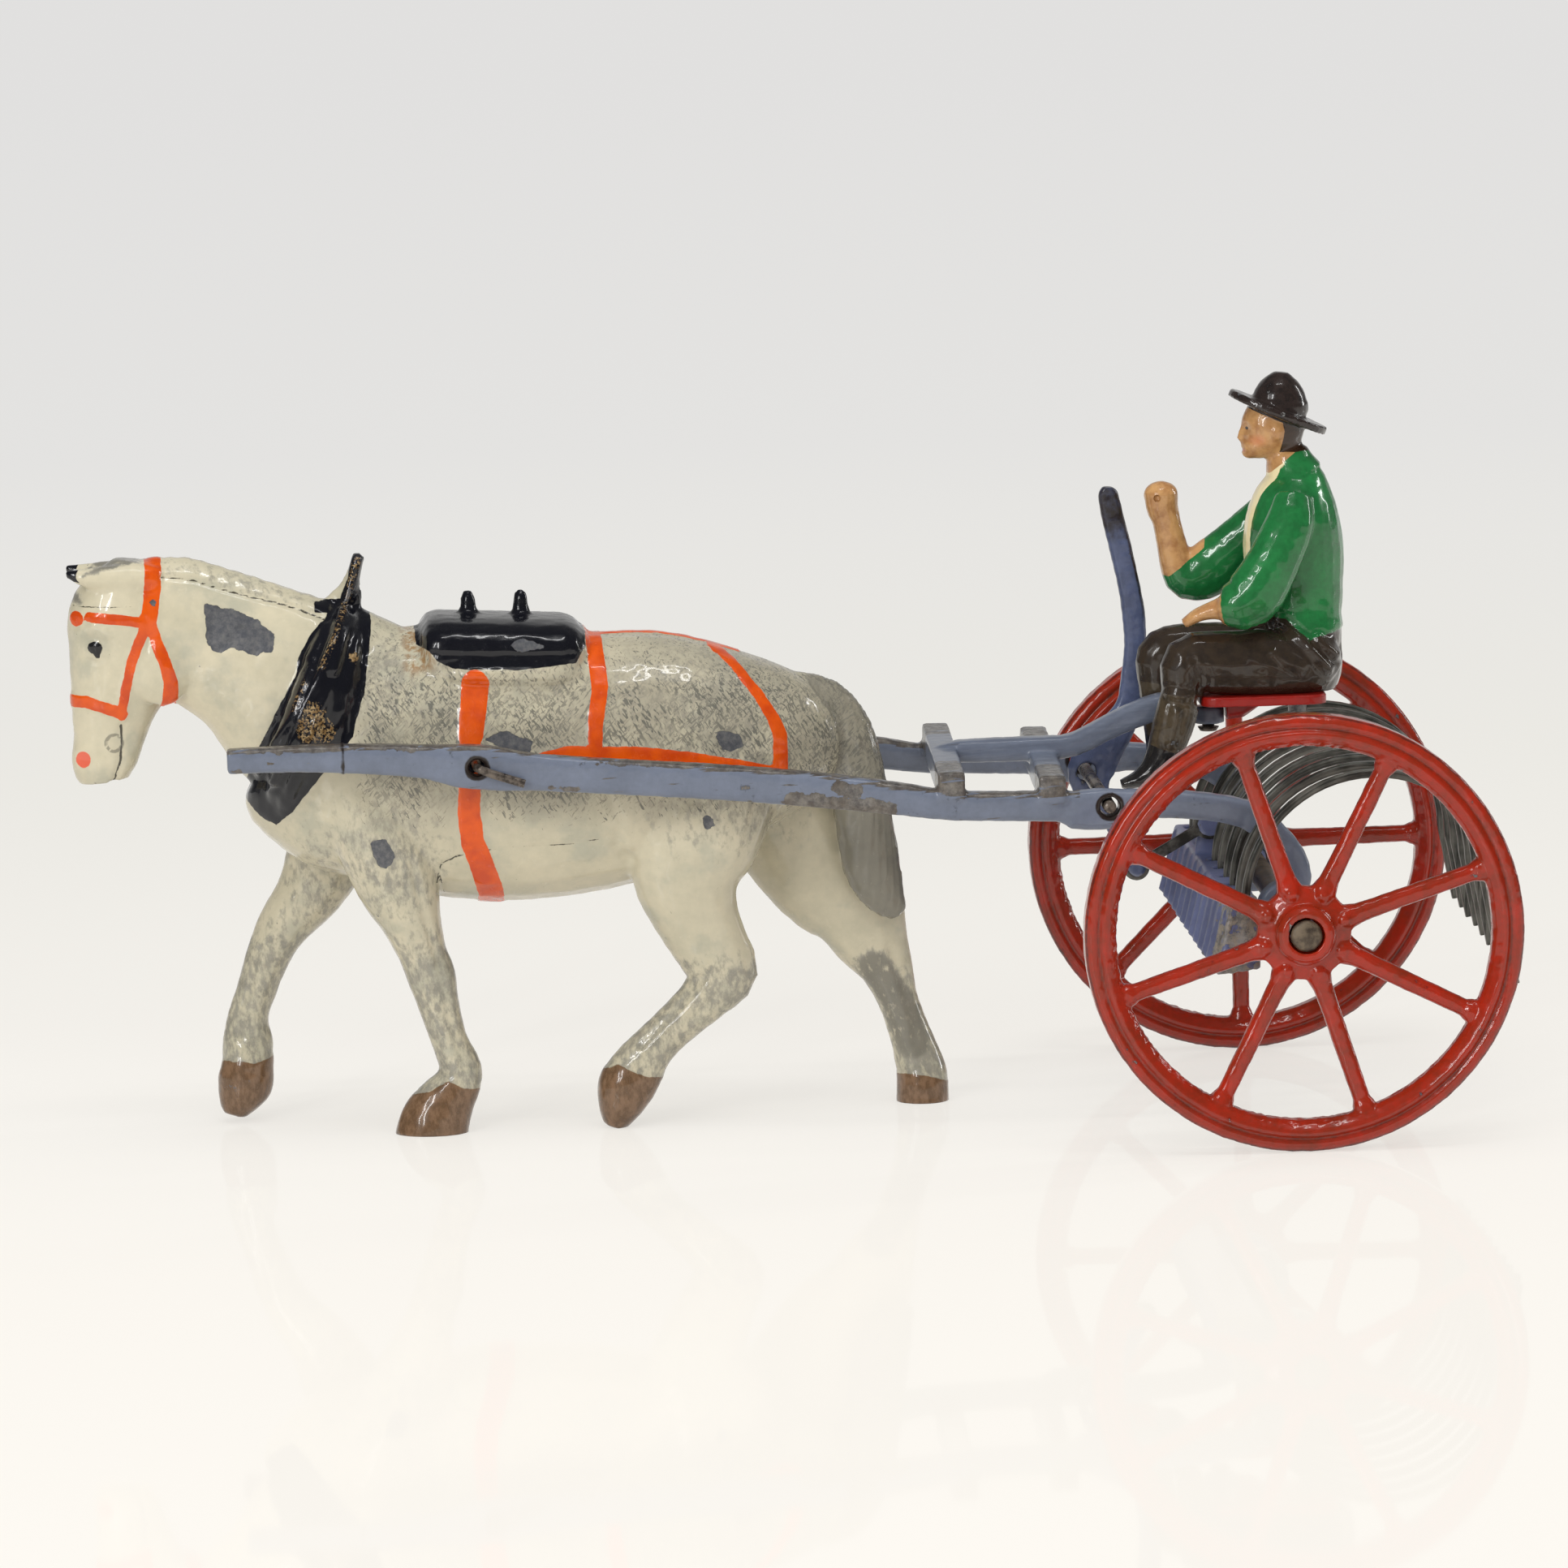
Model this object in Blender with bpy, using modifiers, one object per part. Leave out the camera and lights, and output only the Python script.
"""Lead toy horse rake: a cast horse in shafts, a two-wheeled rake, its driver and the lever that lifts the tines.

Metres, +Z up. The horse faces -X and its near side is -Y. Everything is drawn from the point
on the ground under the axle, and an empty carries it all to the middle of the finished model.
"""

import math

import bmesh
import bpy
from mathutils import Matrix, Vector

MM = 0.001
GAP = 0.0003  # clearance between two pieces that touch
Y_AXIS = Vector((0.0, 1.0, 0.0))
Z_AXIS = Vector((0.0, 0.0, 1.0))

# Spacing across the machine
RAIL_SPREAD = 0.0336
TINES = 10
TINE_PITCH = RAIL_SPREAD / 6.0  # each rail passes midway between two tines
HEAD_END = 0.0023  # from the last tine to the end of the rake head
HEAD_LENGTH = (TINES - 1) * TINE_PITCH + 2.0 * HEAD_END
HUB_LENGTH = 0.0054
HUB_PLAY = 0.0008  # between a hub and the end of the rake head
WHEEL_TRACK = HEAD_LENGTH + HUB_LENGTH + 2.0 * HUB_PLAY

# Wheels and axle
WHEEL_RADIUS = 0.0210
RIM_DEPTH = 0.0030
RIM_WIDTH = 0.0030
RIM_SHOULDER = 0.0006
RIM_BEAD = 0.0005
RIM_SEGMENTS = 40
SPOKES = 8
SPOKE_RADIUS = 0.0008
SPOKE_FOOT_RADIUS = 0.0012
HUB_RADIUS = 0.0027
HUB_WEB_RADIUS = 0.0046
HUB_WEB_THICKNESS = 0.0022
NEAR_WHEEL_TURN = -18.1
FAR_WHEEL_TURN = 0.6
AXLE_RADIUS = 0.0012
AXLE_HEAD_RADIUS = 0.00155
AXLE_HEAD_LENGTH = 0.0006
AXLE_Z = WHEEL_RADIUS
HUB_BORE_RADIUS = AXLE_RADIUS + GAP
HUB_RECESS_RADIUS = AXLE_HEAD_RADIUS + GAP
HUB_RECESS_DEPTH = AXLE_HEAD_LENGTH + GAP

# Horse, drawn in millimetres at the toy's own size and scaled by these two
HORSE_HEIGHT = 0.0493
HORSE_WIDTH = 0.0186
DRAWN_HORSE_HEIGHT = 49.3
DRAWN_HORSE_WIDTH = 18.6
HORSE_VOXEL = 0.00045
HORSE_SHARE_KEPT = 0.056
HORSE_DRAWN_REACH = 42.6  # from the pin back to the tail and the hind hoof

# Wire pin that holds the horse in the shafts
PIN_RADIUS = 0.00042
PIN_Z = 0.0368
PIN_TAIL = 0.0045
PIN_TAIL_DROP = 0.0015
PIN_HOLE_RADIUS = PIN_RADIUS + GAP

# Frame casting: shafts, crossbars, seat bar
FRONT_BAR_X = -0.0317
REAR_BAR_X = -0.0220
BAR_WIDTH = 0.0026
BAR_HEIGHT = 0.0028
BAR_TOP_RISE = 0.0140
FRONT_BAR_LIFT = 0.0005
REAR_BAR_LIFT = -0.0001
BAR_SLANT = 0.0012  # how much further back each bar's far end lies
BAR_OVERHANG = 0.0002
TAIL_CLEARANCE = 0.0020
PIN_X = FRONT_BAR_X - BAR_WIDTH / 2.0 - TAIL_CLEARANCE - HORSE_DRAWN_REACH * HORSE_HEIGHT / DRAWN_HORSE_HEIGHT
SHAFT_THICKNESS = 0.0024
SHAFT_REACH = 0.0239
SHAFT_TIP_X = PIN_X - SHAFT_REACH
SHAFT_TIP_RISE = 0.0012
SHAFT_TIP_DEPTH = 0.0024
SHAFT_PIN_DEPTH = 0.0043
SHAFT_DEPTH = 0.0034
SHAFT_CLEARANCE = 0.0029
RAIL_DEPTH = 0.0028
RAIL_RISE = 0.0111
ROD_BOSS_DEPTH = 0.0040
LUG_RADIUS = 0.0030
SEAT_BAR_WIDTH = 0.0026
SEAT_BAR_DEPTH = 0.0023
SEAT_LAP_DEPTH = 0.0017
SEAT_LAP_LENGTH = 0.0025

# Seat and its rivet
SEAT_TOP_RISE = 0.0194
SEAT_LENGTH = 0.0123
SEAT_WIDTH = 0.0126
SEAT_THICKNESS = 0.0013
SEAT_CORNER = 0.0018
SEAT_X = -0.0008
SEAT_BOSS_LENGTH = 0.0034
SEAT_BOSS_WIDTH = 0.0044
SEAT_BOSS_DEPTH = 0.0018
RIVET_RADIUS = 0.0006
RIVET_HEAD_RADIUS = 0.0011
RIVET_HEAD_HEIGHT = 0.0005

# Driver, drawn in millimetres from the middle of the seat's top
DRIVER_HEIGHT = 0.0308
DRAWN_DRIVER_HEIGHT = 30.8
DRIVER_VOXEL = 0.00036
DRIVER_SHARE_KEPT = 0.085
DRIVER_PEG_RADIUS = 0.0009
DRIVER_PEG_LENGTH = 0.0026
DRIVER_PEG_X = 0.0030

# Lever, its rod and the link to the rake
ROD_RADIUS = 0.00062
ROD_HOLE_RADIUS = ROD_RADIUS + GAP
ROD_X = -0.0171
ROD_RISE = 0.0107
LEVER_THICKNESS = 0.0014
LEVER_LENGTH = 0.0280
LEVER_WIDTH = 0.0021
LEVER_FOOT_X = 0.0046
LEVER_FOOT_DROP = 0.0094
LEVER_FOOT_RADIUS = 0.0010
LINK_THICKNESS = 0.0007
LINK_Y = TINE_PITCH + 0.00015  # about midway between the second and third tines from the middle
LEVER_CLEARANCE = 0.0006
LEVER_Y = LINK_Y + (LINK_THICKNESS + LEVER_THICKNESS) / 2.0 + LEVER_CLEARANCE
LINK_WIDTH = 0.0011
STUD_RADIUS = 0.0004
STUD_HEAD_RADIUS = 0.0009
STUD_HEAD_LENGTH = 0.0005
LINK_FRONT_HOLE = STUD_RADIUS + GAP
LINK_REAR_HOLE = 0.00105  # the rear hole is long, so that the link has free play on its stud
LINK_EYE_WALL = 0.0006

# Rake head and tines
HEAD_TOP_RISE = 0.0023
HEAD_HEIGHT = 0.0068
HEAD_FRONT_X = -0.0066
HEAD_TOP_DEPTH = 0.0030
HEAD_BOTTOM_DEPTH = 0.0043
HEAD_LEAN = 0.0015
HEAD_ARM_THICKNESS = 0.0016
HEAD_ARM_RADIUS = 0.0028
HEAD_RIBS = 13
HEAD_RIB_RADIUS = 0.00045
LUG_X = -0.0052
LUG_RISE = 0.0055
LUG_EAR_RADIUS = 0.0010
LUG_EAR_THICKNESS = 0.0010
TINE_THICKNESS = 0.0008
TINE_WIDTH = 0.0011
TINE_ARC_RADIUS = 0.01245
TINE_ARC_X = 0.0075
TINE_ARC_RISE = 0.0018
TINE_ROOT_LENGTH = 0.0040
TINE_TAIL_LENGTH = 0.0074
TINE_TAIL_LEAN = 0.0014
TINE_STEPS = 14

COLOURS = {
    "horse": ((0.64, 0.62, 0.50), 0.35, 0.0),
    "frame": ((0.16, 0.19, 0.26), 0.40, 0.0),
    "wheel": ((0.50, 0.045, 0.02), 0.35, 0.0),
    "steel": ((0.30, 0.29, 0.26), 0.45, 0.9),
    "tine": ((0.055, 0.058, 0.05), 0.50, 0.7),
    "rake": ((0.13, 0.15, 0.30), 0.45, 0.0),
    "lever": ((0.09, 0.11, 0.20), 0.40, 0.0),
    "seat": ((0.40, 0.03, 0.02), 0.35, 0.0),
    "driver": ((0.03, 0.16, 0.05), 0.30, 0.0),
}


def clear_scene():
    for obj in list(bpy.data.objects):
        bpy.data.objects.remove(obj, do_unlink=True)
    for collection in list(bpy.data.collections):
        bpy.data.collections.remove(collection)


def new_collection(name):
    collection = bpy.data.collections.new(name)
    bpy.context.scene.collection.children.link(collection)
    return collection


clear_scene()
PARTS = new_collection("lead_toy_horse_rake")
CUTTERS = new_collection("cutters")


def material(kind):
    found = bpy.data.materials.get(kind)
    if found:
        return found
    made = bpy.data.materials.new(kind)
    made.use_nodes = True
    colour, roughness, metallic = COLOURS[kind]
    shader = made.node_tree.nodes["Principled BSDF"]
    shader.inputs["Base Color"].default_value = (*colour, 1.0)
    shader.inputs["Roughness"].default_value = roughness
    shader.inputs["Metallic"].default_value = metallic
    made.diffuse_color = (*colour, 1.0)
    return made


def place(name, mesh, kind, helper=False):
    """A new object from a mesh, among the parts or, as a helper, among the cutters."""
    obj = bpy.data.objects.new(name, mesh)
    mesh.name = name
    if helper:
        CUTTERS.objects.link(obj)
        obj.hide_render = True
        obj.display_type = "WIRE"
        return obj
    PARTS.objects.link(obj)
    mesh.materials.append(material(kind))
    return obj


def mesh_from(bm, smooth=True):
    bmesh.ops.recalc_face_normals(bm, faces=bm.faces)
    mesh = bpy.data.meshes.new("mesh")
    bm.to_mesh(mesh)
    bm.free()
    if smooth:
        mesh.shade_smooth()
        mesh.set_sharp_from_angle(angle=math.radians(40))
    return mesh


def superellipse(angle, power):
    """A point on a rounded square of half side 1: power 2 is a circle, and more is squarer."""
    c, s = math.cos(angle), math.sin(angle)
    return (
        math.copysign(abs(c) ** (2.0 / power), c),
        math.copysign(abs(s) ** (2.0 / power), s),
    )


def add_loft(bm, stations, sides=10, power=2.0, side=Y_AXIS):
    """A closed tube through (point, half depth, half width) stations, the width lying along side."""
    rings = []
    for index, (point, depth, width) in enumerate(stations):
        before = stations[max(index - 1, 0)][0]
        after = stations[min(index + 1, len(stations) - 1)][0]
        along = (after - before).normalized()
        across = (side - along * side.dot(along)).normalized()
        deep = along.cross(across)
        ring = []
        for step in range(sides):
            u, v = superellipse(2.0 * math.pi * (step + 0.5) / sides, power)
            ring.append(bm.verts.new(point + deep * (u * depth) + across * (v * width)))
        rings.append(ring)
    for first, second in zip(rings, rings[1:]):
        for step in range(sides):
            after = (step + 1) % sides
            bm.faces.new((first[step], first[after], second[after], second[step]))
    bm.faces.new(rings[0])
    bm.faces.new(rings[-1])


def add_cylinder(bm, start, end, radius, segments=16, end_radius=None):
    """A closed cylinder or cone between two points."""
    axis = end - start
    turn = axis.to_track_quat("Z", "Y").to_matrix().to_4x4()
    bmesh.ops.create_cone(
        bm,
        cap_ends=True,
        segments=segments,
        radius1=radius,
        radius2=radius if end_radius is None else end_radius,
        depth=axis.length,
        matrix=Matrix.Translation((start + end) / 2.0) @ turn,
    )


def add_box(bm, centre, size, turn=None):
    scale = Matrix.Diagonal((*size, 1.0))
    matrix = Matrix.Translation(centre) @ (turn or Matrix.Identity(4)) @ scale
    bmesh.ops.create_cube(bm, size=1.0, matrix=matrix)


def add_ball(bm, centre, radii, turn=None, segments=14, rings=8):
    scale = Matrix.Diagonal((*radii, 1.0))
    matrix = Matrix.Translation(centre) @ (turn or Matrix.Identity(4)) @ scale
    bmesh.ops.create_uvsphere(bm, u_segments=segments, v_segments=rings, radius=1.0, matrix=matrix)


def cylinder_cutter(name, start, end, radius, segments=16):
    bm = bmesh.new()
    add_cylinder(bm, start, end, radius, segments)
    return place(name, mesh_from(bm), None, helper=True)


def box_cutter(name, centre, size):
    bm = bmesh.new()
    add_box(bm, centre, size)
    return place(name, mesh_from(bm, smooth=False), None, helper=True)


def boolean(obj, other, operation):
    modifier = obj.modifiers.new(f"{operation.lower()}_{other.name}", "BOOLEAN")
    modifier.object = other
    modifier.operation = operation
    modifier.solver = "EXACT"


def evaluated_mesh(obj):
    graph = bpy.context.evaluated_depsgraph_get()
    return bpy.data.meshes.new_from_object(obj.evaluated_get(graph))


def plate(outline, thickness, y=0.0):
    """A flat outline of (x, z) points as a curve, filled and extruded along Y, then welded into a mesh."""
    curve = bpy.data.curves.new("outline", "CURVE")
    curve.dimensions = "2D"
    curve.fill_mode = "BOTH"
    curve.extrude = thickness / 2.0 / MM
    spline = curve.splines.new("POLY")
    spline.points.add(len(outline) - 1)
    for target, (x, z) in zip(spline.points, outline):
        target.co = (x / MM, z / MM, 0.0, 1.0)
    spline.use_cyclic_u = True
    obj = bpy.data.objects.new("outline", curve)
    CUTTERS.objects.link(obj)
    bm = bmesh.new()
    bm.from_mesh(evaluated_mesh(obj))
    bpy.data.objects.remove(obj)
    bmesh.ops.remove_doubles(bm, verts=bm.verts, dist=0.001)
    bmesh.ops.scale(bm, verts=bm.verts, vec=(MM, MM, MM))
    bmesh.ops.rotate(bm, verts=bm.verts, cent=(0, 0, 0), matrix=Matrix.Rotation(math.pi / 2.0, 3, "X"))
    bmesh.ops.translate(bm, verts=bm.verts, vec=(0.0, y, 0.0))
    return mesh_from(bm)


def fuse(name, bm, kind, voxel, share_kept):
    """One cast body from overlapping closed forms: remeshed, eased and thinned to few faces."""
    obj = place(name, mesh_from(bm), kind)
    remesh = obj.modifiers.new("fuse", "REMESH")
    remesh.mode = "VOXEL"
    remesh.voxel_size = voxel
    smooth = obj.modifiers.new("ease", "SMOOTH")
    smooth.factor = 0.5
    smooth.iterations = 2
    thin = obj.modifiers.new("thin", "DECIMATE")
    thin.ratio = share_kept
    return obj


# Wheels


def rim_profile():
    """Half section of the rim, (radius, distance from the middle plane), closed, with its bead and shoulders."""
    outer = WHEEL_RADIUS
    inner = WHEEL_RADIUS - RIM_DEPTH
    half = RIM_WIDTH / 2.0
    return [
        (outer - RIM_SHOULDER, -half),
        (outer, -half + RIM_SHOULDER),
        (outer, half - RIM_SHOULDER),
        (outer - RIM_SHOULDER, half),
        (inner + 2.4 * RIM_BEAD, half),
        (inner + 1.6 * RIM_BEAD, half + RIM_BEAD / 2.0),
        (inner + 0.4 * RIM_BEAD, half),
        (inner, half - RIM_BEAD),
        (inner, -half + RIM_BEAD),
        (inner + 0.4 * RIM_BEAD, -half),
        (inner + 1.6 * RIM_BEAD, -half - RIM_BEAD / 2.0),
        (inner + 2.4 * RIM_BEAD, -half),
    ]


def turned_mesh(name, profile, segments, closed):
    """A profile of (radius, height along Y) turned about Y with a Screw modifier."""
    bm = bmesh.new()
    verts = [bm.verts.new((radius, height, 0.0)) for radius, height in profile]
    for first, second in zip(verts, verts[1:]):
        bm.edges.new((first, second))
    if closed:
        bm.edges.new((verts[-1], verts[0]))
    mesh = bpy.data.meshes.new(name)
    bm.to_mesh(mesh)
    bm.free()
    obj = place(name, mesh, None, helper=True)
    screw = obj.modifiers.new("turn", "SCREW")
    screw.axis = "Y"
    screw.steps = segments
    screw.render_steps = segments
    screw.use_merge_vertices = True
    screw.merge_threshold = 0.00001
    turned = evaluated_mesh(obj)
    bpy.data.objects.remove(obj)
    bm = bmesh.new()
    bm.from_mesh(turned)
    return mesh_from(bm)


def wheel_mesh():
    """One wheel about Y with its outer face towards -Y: rim, spokes, hub web, hub, bore and recess."""
    wheel = place("wheel", turned_mesh("rim", rim_profile(), RIM_SEGMENTS, closed=True), "wheel")
    reach = WHEEL_RADIUS - RIM_DEPTH / 2.0
    foot = HUB_RADIUS * 0.9
    bm = bmesh.new()
    for index in range(SPOKES):
        turn = Matrix.Rotation(2.0 * math.pi * index / SPOKES, 3, "Y")
        stations = [
            (turn @ Vector((foot + (reach - foot) * share, 0.0, 0.0)), radius, radius)
            for share, radius in (
                (0.0, SPOKE_RADIUS),
                (0.12, SPOKE_FOOT_RADIUS),
                (0.2, SPOKE_FOOT_RADIUS * 0.95),
                (0.27, SPOKE_RADIUS * 1.08),
                (0.75, SPOKE_RADIUS * 0.95),
                (0.84, SPOKE_RADIUS * 1.15),
                (1.0, SPOKE_RADIUS * 1.3),
            )
        ]
        add_loft(bm, stations, sides=6)
    helpers = [place("spokes", mesh_from(bm), None, helper=True)]
    half_web = HUB_WEB_THICKNESS / 2.0
    half_hub = HUB_LENGTH / 2.0
    hub = [
        (0.0, -half_hub),
        (HUB_RADIUS * 0.85, -half_hub),
        (HUB_RADIUS, -half_hub * 0.8),
        (HUB_RADIUS, -half_web * 1.3),
        (HUB_WEB_RADIUS, -half_web * 0.5),
        (HUB_WEB_RADIUS, half_web * 0.5),
        (HUB_RADIUS, half_web * 1.3),
        (HUB_RADIUS, half_hub * 0.8),
        (HUB_RADIUS * 0.85, half_hub),
        (0.0, half_hub),
    ]
    helpers.append(place("hub", turned_mesh("hub", hub, 20, closed=False), None, helper=True))
    for helper in helpers:
        boolean(wheel, helper, "UNION")
    past = Y_AXIS * HUB_LENGTH
    bore = cylinder_cutter("hub_bore", -past, past, HUB_BORE_RADIUS)
    floor = -half_hub + HUB_RECESS_DEPTH
    recess = cylinder_cutter("hub_recess", Y_AXIS * floor, -past, HUB_RECESS_RADIUS, 20)
    for cutter in (bore, recess):
        boolean(wheel, cutter, "DIFFERENCE")
    mesh = evaluated_mesh(wheel)
    for obj in [wheel, bore, recess, *helpers]:
        bpy.data.objects.remove(obj)
    return mesh


def make_wheels():
    mesh = wheel_mesh()
    for name, side, turn in (
        ("wheel_near", -1.0, NEAR_WHEEL_TURN),
        ("wheel_far", 1.0, FAR_WHEEL_TURN),
    ):
        wheel = bpy.data.objects.new(name, mesh)
        PARTS.objects.link(wheel)
        wheel.location = (0.0, side * WHEEL_TRACK / 2.0, AXLE_Z)
        facing = 0.0 if side < 0.0 else math.pi
        wheel.rotation_euler = (0.0, math.radians(turn), facing)


def make_axle():
    """Wire axle with both ends spread into heads that lie in the hubs' recesses."""
    outer = WHEEL_TRACK / 2.0 + HUB_LENGTH / 2.0
    neck = outer - AXLE_HEAD_LENGTH
    profile = [
        (0.0, -outer),
        (AXLE_HEAD_RADIUS * 0.8, -outer),
        (AXLE_HEAD_RADIUS, -outer + AXLE_HEAD_LENGTH * 0.35),
        (AXLE_HEAD_RADIUS, -neck),
        (AXLE_RADIUS, -neck),
        (AXLE_RADIUS, neck),
        (AXLE_HEAD_RADIUS, neck),
        (AXLE_HEAD_RADIUS, outer - AXLE_HEAD_LENGTH * 0.35),
        (AXLE_HEAD_RADIUS * 0.8, outer),
        (0.0, outer),
    ]
    axle = place("axle", turned_mesh("axle", profile, 16, closed=False), "steel")
    axle.location = (0.0, 0.0, AXLE_Z)


# Frame


def shaft_centre_y(x):
    """Distance of a shaft's middle from the centre line: close to the horse in front, wide at the axle."""
    front = HORSE_WIDTH / 2.0 + SHAFT_CLEARANCE + SHAFT_THICKNESS / 2.0
    rear = RAIL_SPREAD / 2.0
    share = min(max((x - PIN_X) / (FRONT_BAR_X - PIN_X), 0.0), 1.0)
    eased = share * share * (3.0 - 2.0 * share)
    return front + (rear - front) * eased


def rail_stations(side):
    """A shaft with its rail: from the tip past the horse and the crossbars, then down to the axle."""
    bar_z = AXLE_Z + RAIL_RISE
    rod_z = AXLE_Z + ROD_RISE

    def between(share, height_share=None):
        """A point part of the way from the pin to the front crossbar, on a slightly hollow line."""
        drop = share if height_share is None else height_share
        return PIN_X + (FRONT_BAR_X - PIN_X) * share, PIN_Z + (bar_z - PIN_Z) * drop

    tip_z = PIN_Z + SHAFT_TIP_RISE
    path = [
        (SHAFT_TIP_X, tip_z, SHAFT_TIP_DEPTH),
        (SHAFT_TIP_X + 0.25 * (PIN_X - SHAFT_TIP_X), tip_z + 0.0001, SHAFT_TIP_DEPTH * 1.05),
        (SHAFT_TIP_X + 0.55 * (PIN_X - SHAFT_TIP_X), tip_z - 0.0001, SHAFT_TIP_DEPTH * 1.2),
        (PIN_X - 0.0050, PIN_Z + 0.55 * SHAFT_TIP_RISE, SHAFT_TIP_DEPTH * 1.35),
        (PIN_X - 0.0020, PIN_Z + 0.15 * SHAFT_TIP_RISE, SHAFT_PIN_DEPTH * 0.95),
        (PIN_X, PIN_Z, SHAFT_PIN_DEPTH),
        (PIN_X + 0.0024, PIN_Z - 0.0003, SHAFT_PIN_DEPTH * 0.97),
        (PIN_X + 0.0060, between(0.14, 0.15)[1], SHAFT_DEPTH * 1.03),
        (*between(0.34, 0.30), SHAFT_DEPTH),
        (*between(0.54, 0.44), SHAFT_DEPTH),
        (*between(0.74, 0.64), SHAFT_DEPTH * 0.98),
        (*between(0.90, 0.85), SHAFT_DEPTH * 0.9),
        (FRONT_BAR_X, bar_z, RAIL_DEPTH),
        (REAR_BAR_X, bar_z - 0.0003, RAIL_DEPTH * 1.05),
        (ROD_X - 0.0036, rod_z - 0.0003, ROD_BOSS_DEPTH * 0.9),
        (ROD_X - 0.0008, rod_z - 0.0003, ROD_BOSS_DEPTH),
        (ROD_X + 0.0014, rod_z - 0.0002, ROD_BOSS_DEPTH * 0.86),
        (ROD_X + 0.0046, rod_z + 0.0001, RAIL_DEPTH),
        (ROD_X + 0.0096, rod_z - 0.0004, RAIL_DEPTH * 0.94),
    ]
    bend = [
        (-0.0040, AXLE_Z + 0.0095, RAIL_DEPTH * 0.97),
        (-0.0016, AXLE_Z + 0.0077, RAIL_DEPTH),
        (0.0004, AXLE_Z + 0.0052, RAIL_DEPTH),
        (0.0009, AXLE_Z + 0.0027, RAIL_DEPTH),
        (0.0004, AXLE_Z + 0.0006, RAIL_DEPTH),
    ]
    return [
        (Vector((x, side * shaft_centre_y(x), z)), depth / 2.0, SHAFT_THICKNESS / 2.0)
        for x, z, depth in path + bend
    ]


def seat_front():
    return SEAT_X - SEAT_LENGTH / 2.0


def seat_underside():
    return AXLE_Z + SEAT_TOP_RISE - SEAT_THICKNESS


def seat_bar_stations():
    """The deep bar that starts in a point at the front crossbar, lies on both and rises to the seat's edge."""
    low = AXLE_Z + BAR_TOP_RISE
    half = SEAT_BAR_DEPTH / 2.0
    wide = SEAT_BAR_WIDTH / 2.0
    high = AXLE_Z + SEAT_TOP_RISE - half * 1.1
    end = seat_front() - GAP
    start = REAR_BAR_X + 0.0030
    middle = low + half * 0.1
    rows = [
        (FRONT_BAR_X - BAR_WIDTH * 0.45, low, 0.35, 0.3),
        (FRONT_BAR_X + BAR_WIDTH * 0.6, middle, 0.95, 1.0),
        (REAR_BAR_X, middle + half * 0.05, 1.0, 1.0),
        (start, middle + (high - middle) * 0.08, 0.97, 1.0),
        (start + (end - start) * 0.26, middle + (high - middle) * 0.42, 1.0, 1.0),
        (start + (end - start) * 0.50, middle + (high - middle) * 0.76, 1.08, 1.0),
        (start + (end - start) * 0.72, middle + (high - middle) * 0.96, 1.1, 1.0),
        (start + (end - start) * 0.86, high, 1.05, 1.0),
        (end, high, 1.0, 1.0),
    ]
    return [(Vector((x, 0.0, z)), half * deep, wide * broad) for x, z, deep, broad in rows]


def seat_bar_end_x():
    return seat_front() + SEAT_LAP_LENGTH


def rivet_x():
    return seat_bar_end_x() - SEAT_BAR_WIDTH / 2.0


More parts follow.
